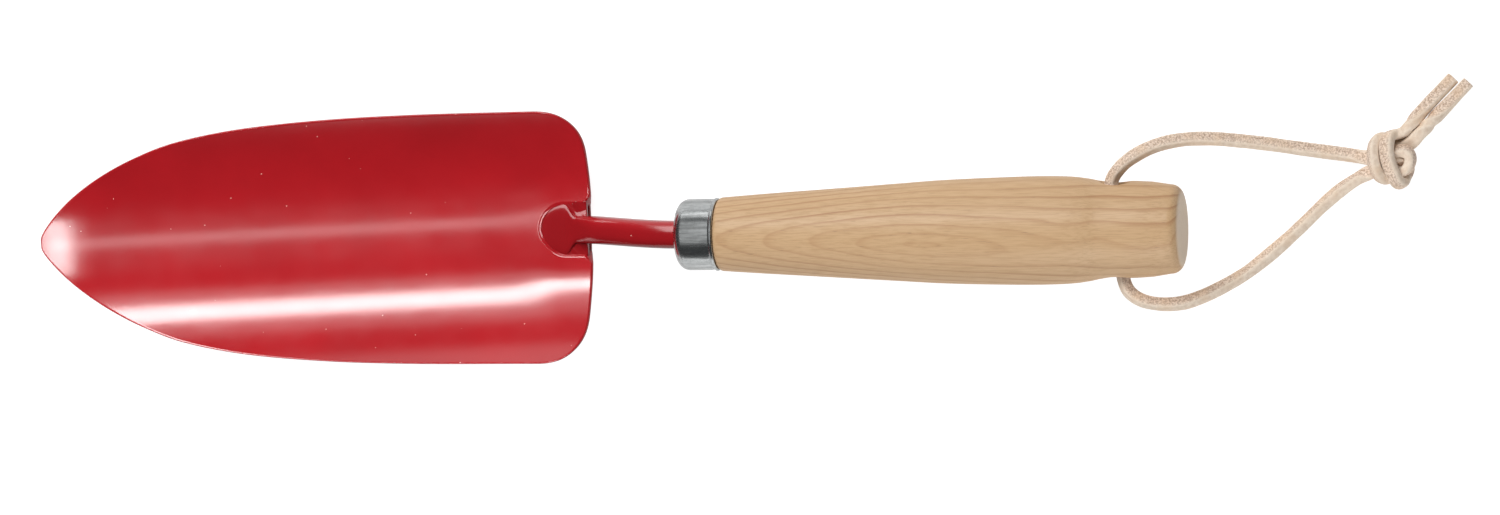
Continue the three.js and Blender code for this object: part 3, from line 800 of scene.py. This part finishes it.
class Nodes:
    """Short ways to build one material's node tree."""

    def __init__(self, name):
        self.material = bpy.data.materials.new(name)
        self.material.use_nodes = True
        self.tree = self.material.node_tree
        self.shader = self.tree.nodes["Principled BSDF"]

    def add(self, kind, settings=None, **inputs):
        node = self.tree.nodes.new(kind)
        for key, value in (settings or {}).items():
            setattr(node, key, value)
        for key, value in inputs.items():
            self.put(node.inputs[key.replace("_", " ")], value)
        return node

    def put(self, socket, value):
        if hasattr(value, "is_output"):
            self.tree.links.new(value, socket)
        else:
            socket.default_value = value

    def place(self, scale, output="Object", turn=(0, 0, 0)):
        coordinates = self.add("ShaderNodeTexCoord").outputs[output]
        mapping = self.add("ShaderNodeMapping", Vector=coordinates, Scale=scale, Rotation=turn)
        return mapping.outputs["Vector"]

    def noise(self, vector, scale, detail=3.0, roughness=0.5, distortion=0.0):
        texture = self.add("ShaderNodeTexNoise", Vector=vector, Scale=scale, Detail=detail,
                           Roughness=roughness, Distortion=distortion)
        return texture.outputs["Fac"]

    def ramp(self, value, *stops):
        node = self.add("ShaderNodeValToRGB", Fac=value)
        elements = node.color_ramp.elements
        while len(elements) < len(stops):
            elements.new(0.5)
        for element, (place, colour) in zip(elements, stops):
            element.position = place
            element.color = (*colour, 1) if isinstance(colour, tuple) else (colour, colour, colour, 1)
        return node.outputs["Color"]

    def mix(self, share, a, b, blend="MIX"):
        node = self.add("ShaderNodeMix", {"data_type": "RGBA", "blend_type": blend})
        self.put(node.inputs[0], share)
        for socket, value in ((node.inputs[6], a), (node.inputs[7], b)):
            self.put(socket, (*value, 1) if isinstance(value, tuple) else value)
        return node.outputs[2]

    def maths(self, operation, a, b=0.0, c=0.0):
        node = self.add("ShaderNodeMath", {"operation": operation})
        for socket, value in zip(node.inputs, (a, b, c)):
            self.put(socket, value)
        return node.outputs[0]

    def bump(self, height, strength, distance, under=None):
        node = self.add("ShaderNodeBump", Height=height, Strength=strength, Distance=distance)
        if under is not None:
            self.put(node.inputs["Normal"], under)
        return node.outputs["Normal"]

    def finish(self, **inputs):
        for key, value in inputs.items():
            socket = self.shader.inputs[key.replace("_", " ")]
            self.put(socket, (*value, 1) if isinstance(value, tuple) and len(value) == 3 else value)
        return self.material


def red_powder_coat():
    """Semi-gloss red with faint clouds and a few pale specks."""
    n = Nodes("red_powder_coat")
    at = n.place((1, 1, 1))
    cloudy = n.noise(at, 45, 4)
    colour = n.ramp(cloudy, (0.3, (0.315, 0.0064, 0.0102)), (0.7, (0.36, 0.0075, 0.0120)))
    dots = n.add("ShaderNodeTexVoronoi", {"feature": "F1"}, Vector=at, Scale=260.0, Randomness=1.0)
    near = n.maths("LESS_THAN", dots.outputs["Distance"], 0.042)
    rare = n.maths("GREATER_THAN", n.noise(at, 91, 1), 0.50)
    speck = n.maths("MULTIPLY", near, rare)
    colour = n.mix(speck, colour, (0.78, 0.42, 0.36))
    orange_peel = n.bump(n.noise(at, 520, 2), 0.03, 0.0002)
    grain = n.bump(n.noise(at, 3200, 2), 0.05, 0.00005, orange_peel)
    rough = n.ramp(n.noise(at, 130, 3), (0.3, 0.15), (0.7, 0.185))
    return n.finish(Base_Color=colour, Roughness=rough, Normal=grain, IOR=1.6)


def plated_steel():
    """Zinc plate with drawing lines along the ferrule and a fine mottle."""
    n = Nodes("plated_steel")
    at = n.place((1, 1, 1))
    streaks_at = n.place((60, 900, 900))
    broad_at = n.place((40, 260, 260))
    streak = n.noise(streaks_at, 1.0, 4, 0.6)
    broad = n.noise(broad_at, 1.0, 3, 0.55)
    mottle = n.noise(at, 900, 4, 0.6)
    tone = n.mix(0.5, n.ramp(broad, (0.40, 0.36), (0.60, 0.68)), n.ramp(streak, (0.36, 0.22), (0.56, 0.70)))
    tone = n.mix(0.18, tone, n.ramp(mottle, (0.35, 0.3), (0.65, 0.7)))
    colour = n.mix(1.0, tone, (0.97, 1.0, 1.0), "MULTIPLY")
    rough = n.ramp(streak, (0.3, 0.30), (0.7, 0.20))
    normal = n.bump(streak, 0.10, 0.0001)
    return n.finish(Base_Color=colour, Metallic=1.0, Roughness=rough, Normal=normal)


def clear_wood():
    """Lacquered wood: growth rings about a heart above the handle, fibres, pores and a pale end grain."""
    n = Nodes("clear_wood")
    turn = (0.03, -0.12, math.radians(1.2))  # of the log in the handle
    heart_y, heart_z = -0.001, 0.040
    ring_spacing = 0.0023
    at = n.place((1, 1, 1), turn=turn)
    sway = n.noise(n.place((9, 40, 40), turn=turn), 1.0, 2)
    split = n.add("ShaderNodeSeparateXYZ", Vector=at)
    y = n.maths("SUBTRACT", split.outputs["Y"], heart_y)
    z = n.maths("SUBTRACT", split.outputs["Z"], heart_z)
    radius = n.maths("SQRT", n.maths("ADD", n.maths("MULTIPLY", y, y), n.maths("MULTIPLY", z, z)))
    radius = n.maths("ADD", radius, n.maths("MULTIPLY", sway, 0.0050))
    radius = n.maths("ADD", radius, n.maths("MULTIPLY", n.noise(n.place((60, 300, 300)), 1.0, 3), 0.0008))
    ring = n.maths("FRACT", n.maths("MULTIPLY", radius, 1 / ring_spacing))
    late = n.ramp(ring, (0.0, 0.0), (0.58, 0.06), (0.86, 1.0), (0.93, 0.12), (1.0, 0.0))
    patchy = n.ramp(n.noise(n.place((14, 110, 110)), 1.0, 3), (0.30, 0.35), (0.6, 1.0))
    aside = n.ramp(n.maths("ABSOLUTE", y), (0.002, 0.38), (0.0075, 1.0))
    ring_dark = n.maths("MULTIPLY", n.maths("MULTIPLY", late, patchy), aside)
    pale, brown, pore = (0.60, 0.41, 0.235), (0.38, 0.175, 0.07), (0.24, 0.13, 0.06)
    broad = n.noise(n.place((12, 70, 70)), 1.0, 3)
    base = n.mix(broad, (0.55, 0.345, 0.175), (0.66, 0.445, 0.255))
    colour = n.mix(ring_dark, base, brown)
    fibres = n.noise(n.place((130, 2600, 2600)), 1.0, 4, 0.62)
    colour = n.mix(n.ramp(fibres, (0.44, 0.0), (0.66, 0.5)), colour, (0.42, 0.235, 0.10))
    pores_at = n.place((190, 3400, 3400))
    pores = n.ramp(n.noise(pores_at, 1.0, 2, 0.5), (0.63, 0.0), (0.70, 1.0))
    pores = n.maths("MULTIPLY", pores, n.maths("ADD", n.maths("MULTIPLY", late, 0.7), 0.3))
    colour = n.mix(n.maths("MULTIPLY", pores, 0.55), colour, pore)
    colour = n.mix(0.12, colour, pale)
    facing = n.add("ShaderNodeSeparateXYZ", Vector=n.place((1, 1, 1), "Normal"))
    colour = n.mix(n.ramp(facing.outputs["X"], (0.85, 0.0), (0.97, 0.7)), colour, (0.80, 0.67, 0.52))
    normal = n.bump(fibres, 0.10, 0.0002)
    normal = n.bump(pores, 0.25, -0.0001, normal)
    rough = n.ramp(fibres, (0.3, 0.50), (0.7, 0.60))
    return n.finish(Base_Color=colour, Roughness=rough, Normal=normal, Coat_Weight=0.06, Coat_Roughness=0.2)


def natural_leather():
    """Undyed thong. Its UV's X is 0.25 in the middle of the rough side; the other sides are smoother."""
    n = Nodes("natural_leather")
    at = n.place((1, 1, 1))
    split = n.add("ShaderNodeSeparateXYZ", Vector=n.place((1, 1, 1), output="UV"))
    face = n.maths("FRACT", split.outputs["X"])
    rough_face = n.ramp(face, (0.0, 0.0), (0.115, 0.0), (0.135, 1.0), (0.365, 1.0), (0.385, 0.0))
    corner = n.ramp(n.maths("PINGPONG", n.maths("SUBTRACT", face, 0.125), 0.125), (0.0, 1.0), (0.12, 0.0))
    fluff = n.noise(at, 1900, 4, 0.7)
    blotch = n.noise(at, 700, 4, 0.62)
    smooth_side = n.mix(n.ramp(blotch, (0.35, 0.0), (0.65, 1.0)), (0.70, 0.555, 0.43), (0.84, 0.71, 0.58))
    rough_side = n.mix(n.ramp(fluff, (0.42, 0.0), (0.58, 1.0)), (0.40, 0.25, 0.165), (0.88, 0.71, 0.58))
    colour = n.mix(n.maths("MULTIPLY", rough_face, 0.85), smooth_side, rough_side)
    tan = n.ramp(n.noise(at, 190, 3), (0.45, 0.0), (0.68, 0.45))
    colour = n.mix(tan, colour, (0.76, 0.54, 0.36))
    colour = n.mix(n.maths("MULTIPLY", corner, 0.35), colour, (0.90, 0.79, 0.66))
    nap = n.bump(fluff, 0.55, 0.00014)
    creases = n.bump(n.noise(at, 1100, 4, 0.6, 0.6), 0.35, 0.00025, nap)
    return n.finish(Base_Color=colour, Roughness=0.82, Normal=creases, Sheen_Weight=0.15,
                    Sheen_Roughness=0.5)


# ---- Table, lights and world ---------------------------------------------------------------------


def make_table():
    """A white table. The camera sees it glow a little more than the object does."""
    size = 3.0
    glow_on_all, glow_to_camera = 0.55, 0.37
    table = mesh_object("table", [(-size, -size, 0), (size, -size, 0), (size, size, 0), (-size, size, 0)],
                        [(0, 1, 2, 3)], smooth=False)
    n = Nodes("white_table")
    shade = n.ramp(n.noise(n.place((1, 1, 1)), 2, 2), (0.3, 0.28), (0.7, 0.32))
    seen = n.add("ShaderNodeLightPath").outputs["Is Camera Ray"]
    glow = n.maths("MULTIPLY_ADD", seen, glow_to_camera, glow_on_all)
    table.data.materials.append(n.finish(
        Base_Color=shade, Roughness=0.9, Emission_Color=(1.0, 1.0, 1.0), Emission_Strength=glow))
    table.location.z = -0.0001


def area_light(name, place, aim, size, power, lit=()):
    """A soft rectangle of light, its long side along X; size is (along, across). It lights the pieces named
    in lit, or everything where there are none."""
    data = bpy.data.lights.new(name, "AREA")
    data.shape = "RECTANGLE"
    data.size, data.size_y = size
    data.energy = power
    light = bpy.data.objects.new(name, data)
    bpy.context.scene.collection.objects.link(light)
    back = (Vector(place) - Vector(aim)).normalized()
    right = (Vector((1, 0, 0)) - back * back.x).normalized()
    light.matrix_world = Matrix((right, back.cross(right), back)).transposed().to_4x4()
    light.location = place
    light.visible_camera = False
    if lit:
        group = bpy.data.collections.new(name + "_lights")
        for piece in lit:
            group.objects.link(bpy.data.objects[piece])
        light.light_linking.receiver_collection = group


def make_lights():
    blade = ("blade_sheet",)
    neck = ("forged_shank", "weld_bead_left", "weld_bead_right")
    soft = ("turned_handle", "leg_upper", "leg_lower", "knot", "table")
    # The strip whose reflection runs along the scoop's near slope.
    area_light("key_strip", (-0.42, 0.80, 1.06), (-0.05, 0, 0.02), (1.3, 0.22), 18, blade)
    # The dimmer surround of that strip.
    area_light("key_glow", (-0.42, 0.82, 1.08), (-0.05, 0, 0.02), (1.3, 0.7), 3.6, blade)
    # The narrow card above, reflected along the bottom of the scoop.
    area_light("top_card", (-0.35, -0.19, 1.2), (-0.1, 0, 0.0), (0.9, 0.11), 1.15, blade)
    # The small window that the turned-up tip reflects.
    area_light("tip_card", (0.02, -0.17, 1.3), (-0.16, 0, 0.0), (0.17, 0.80), 7.8, blade)
    # Soft light from beyond the tip, from where nothing is reflected.
    area_light("blade_fill", (-1.2, -0.6, 0.68), (-0.1, 0, 0.02), (0.6, 0.6), 6, blade)
    # The same light as the other pieces meet it, from wider sources.
    area_light("neck_key", (-0.25, 0.80, 1.06), (0, 0, 0.02), (1.4, 1.3), 27, neck)
    area_light("soft_key", (-0.25, 0.80, 1.06), (0.1, 0, 0.02), (1.2, 0.45), 17, soft)
    area_light("soft_fill", (0.35, -0.95, 0.75), (0.1, 0, 0.02), (1.2, 0.6), 9.5, soft)
    # A dim ceiling for the steel.
    area_light("steel_ceiling", (-0.25, 0.25, 1.1), (0.03, 0, 0.02), (1.6, 1.6), 4.6, ("ferrule_cap",))
    # Low cards on both sides, for the steep slopes.
    area_light("low_card", (-0.35, 1.5, 0.42), (-0.1, 0, 0.02), (1.4, 0.5), 3.4)
    area_light("far_card", (0.0, -1.5, 0.18), (0.0, 0, 0.02), (1.8, 0.3), 2.0)


def make_world():
    """White behind the object, and a dim grey room around it for the light and the reflections."""
    world = bpy.data.worlds.new("room")
    bpy.context.scene.world = world
    world.use_nodes = True
    tree = world.node_tree
    background = tree.nodes["Background"]
    background.inputs["Color"].default_value = (0.93, 0.97, 1.0, 1)
    background.inputs["Strength"].default_value = 0.06
    white = tree.nodes.new("ShaderNodeBackground")
    white.inputs["Color"].default_value = (1, 1, 1, 1)
    white.inputs["Strength"].default_value = 1.0
    path = tree.nodes.new("ShaderNodeLightPath")
    mix = tree.nodes.new("ShaderNodeMixShader")
    tree.links.new(path.outputs["Is Camera Ray"], mix.inputs[0])
    tree.links.new(background.outputs[0], mix.inputs[1])
    tree.links.new(white.outputs[0], mix.inputs[2])
    tree.links.new(mix.outputs[0], tree.nodes["World Output"].inputs["Surface"])
    bpy.context.scene.view_settings.view_transform = "Standard"


# ---- The object ----------------------------------------------------------------------------------


def dress(piece, slot, body, *nodes):
    """Gives a piece its material and slot, the body it moves with and the CAD nodes it stands for."""
    piece.data.materials.append(materials[slot])
    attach(piece, body)
    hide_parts(*nodes)


make_table()
make_world()

materials = {
    "red_powder_coat": red_powder_coat(),
    "plated_steel": plated_steel(),
    "clear_wood": clear_wood(),
    "natural_leather": natural_leather(),
}
dress(make_blade(), "red_powder_coat", "tool", "blade")
dress(make_shank(), "red_powder_coat", "tool", "shank")
dress(make_weld(1, "weld_bead_left"), "red_powder_coat", "tool", "weld_left")
dress(make_weld(-1, "weld_bead_right"), "red_powder_coat", "tool", "weld_right")
dress(make_ferrule(), "plated_steel", "tool", "ferrule")
dress(make_handle(), "clear_wood", "tool", "handle")

leg_pieces, knot = make_thong()
dress(knot, "natural_leather", "hanging_loop", "lace_knot", "lace_tail_a", "lace_tail_b")
for (leg, line), node in zip(leg_pieces, ("lace_upper", "lace_lower")):
    dress(leg, "natural_leather", "hanging_loop", node)

make_lights()
